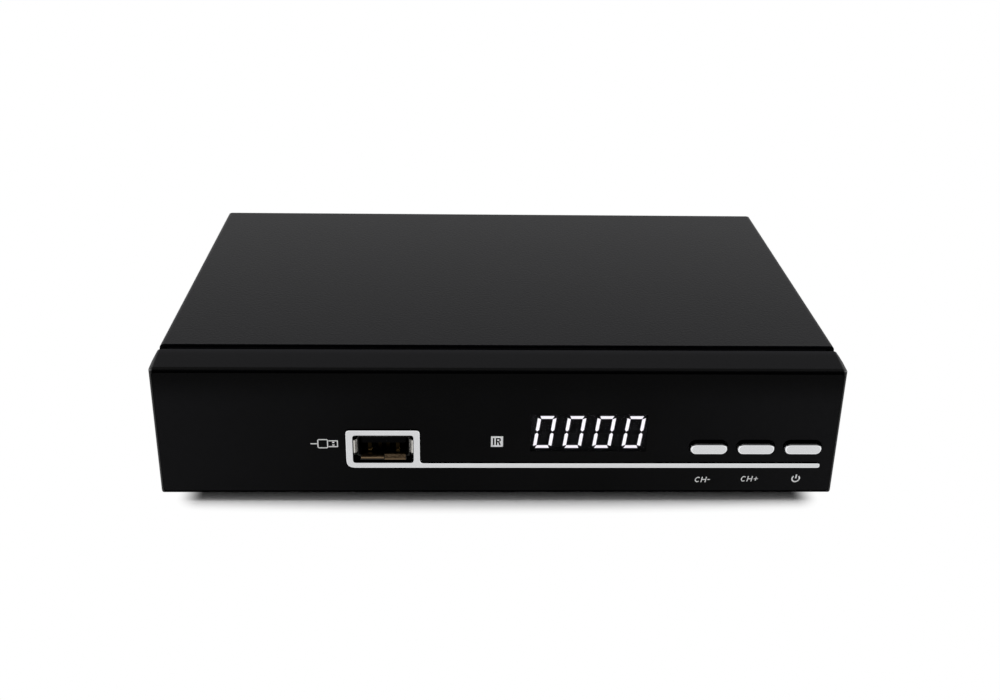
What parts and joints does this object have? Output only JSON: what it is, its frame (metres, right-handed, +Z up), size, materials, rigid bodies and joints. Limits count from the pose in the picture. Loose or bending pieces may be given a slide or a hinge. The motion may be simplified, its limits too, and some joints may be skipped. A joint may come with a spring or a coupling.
{
  "type": "satellite television receiver",
  "caption": "Low flat satellite receiver with a steel cover, glossy front, digit display, front USB socket, sprung pill buttons and rear aerial, audio, video, HDMI and DC sockets.",
  "frame": {"origin": "under the middle of the bounding box, on the plane that the feet stand on", "axes": "+X to the right seen from the front, +Y to the rear, +Z up; the front faces -Y"},
  "size_m": [0.17, 0.1232, 0.0385],
  "materials": {
    "powder_coat": "fine matt powder coat",
    "zinc_steel": "plain zinc plated",
    "black_moulding": "satin moulding",
    "gloss_black": "gloss",
    "silver_plate": "silver plated",
    "silver_cap": "silver paint, satin",
    "nickel": "nickel plated",
    "tinned": "tinned",
    "bright_screw": "zinc plated",
    "black_screw": "blackened",
    "circuit_green": "solder resist",
    "black_plastic": "satin",
    "white_plastic": "satin",
    "rubber": "matt",
    "chip": "matt moulding compound",
    "capacitor_sleeve": "shrink sleeve",
    "anodised": "black anodised",
    "core_yellow": "gloss",
    "core_white": "gloss",
    "core_red": "gloss"
  },
  "bodies": {
    "housing": {"av_core_left": "core_white", "av_core_right": "core_red", "av_core_video": "core_yellow", "av_housing": "black_plastic", "av_sleeve_left": "nickel", "av_sleeve_right": "nickel", "av_sleeve_video": "nickel", "base_tray": "zinc_steel", "board_screw_front_left": "bright_screw", "board_screw_front_right": "bright_screw", "board_screw_rear_left": "bright_screw", "board_screw_rear_right": "bright_screw", "capacitor_1": "capacitor_sleeve", "capacitor_2": "capacitor_sleeve", "capacitor_3": "capacitor_sleeve", "clock_crystal": "tinned", "cover_screw_left": "black_screw", "cover_screw_right": "black_screw", "dc_inlet": "black_plastic", "dc_pin": "nickel", "display_module": "black_plastic", "foot_front_left": "rubber", "foot_front_right": "rubber", "foot_rear_left": "rubber", "foot_rear_right": "rubber", "front_bezel": "black_moulding", "front_board": "circuit_green", "front_board_screw_left": "bright_screw", "front_board_screw_right": "bright_screw", "front_header": "white_plastic", "front_lens": "gloss_black", "hdmi_shell": "nickel", "hdmi_tongue": "black_plastic", "heatsink": "anodised", "infrared_receiver": "black_plastic", "lnb_barrel": "nickel", "lnb_insulator": "white_plastic", "lnb_nut": "nickel", "main_board": "circuit_green", "main_chip": "chip", "main_header": "white_plastic", "memory_chip": "chip", "power_coil": "chip", "ribbon_cable": "white_plastic", "switch_ch_down": "black_plastic", "switch_ch_up": "black_plastic", "switch_power": "black_plastic", "top_cover": "powder_coat", "tuner_can": "tinned", "usb_shell": "nickel", "usb_tongue": "black_plastic", "usb_trim": "silver_plate"},
    "button_ch_down": {"cap_ch_down": "silver_cap", "plunger_ch_down": "white_plastic"},
    "button_ch_up": {"cap_ch_up": "silver_cap", "plunger_ch_up": "white_plastic"},
    "button_power": {"cap_power": "silver_cap", "plunger_power": "white_plastic"}
  },
  "joints": [
    {"name": "ch_down_press", "type": "slide", "parent": "housing", "child": "button_ch_down", "axis": [0, 1, 0], "range_m": [0, 0.0004], "stiffness_N_per_m": 4000, "springref_m": -0.0001},
    {"name": "ch_up_press", "type": "slide", "parent": "housing", "child": "button_ch_up", "axis": [0, 1, 0], "range_m": [0, 0.0004], "stiffness_N_per_m": 4000, "springref_m": -0.0001},
    {"name": "power_press", "type": "slide", "parent": "housing", "child": "button_power", "axis": [0, 1, 0], "range_m": [0, 0.0004], "stiffness_N_per_m": 4000, "springref_m": -0.0001}
  ]
}
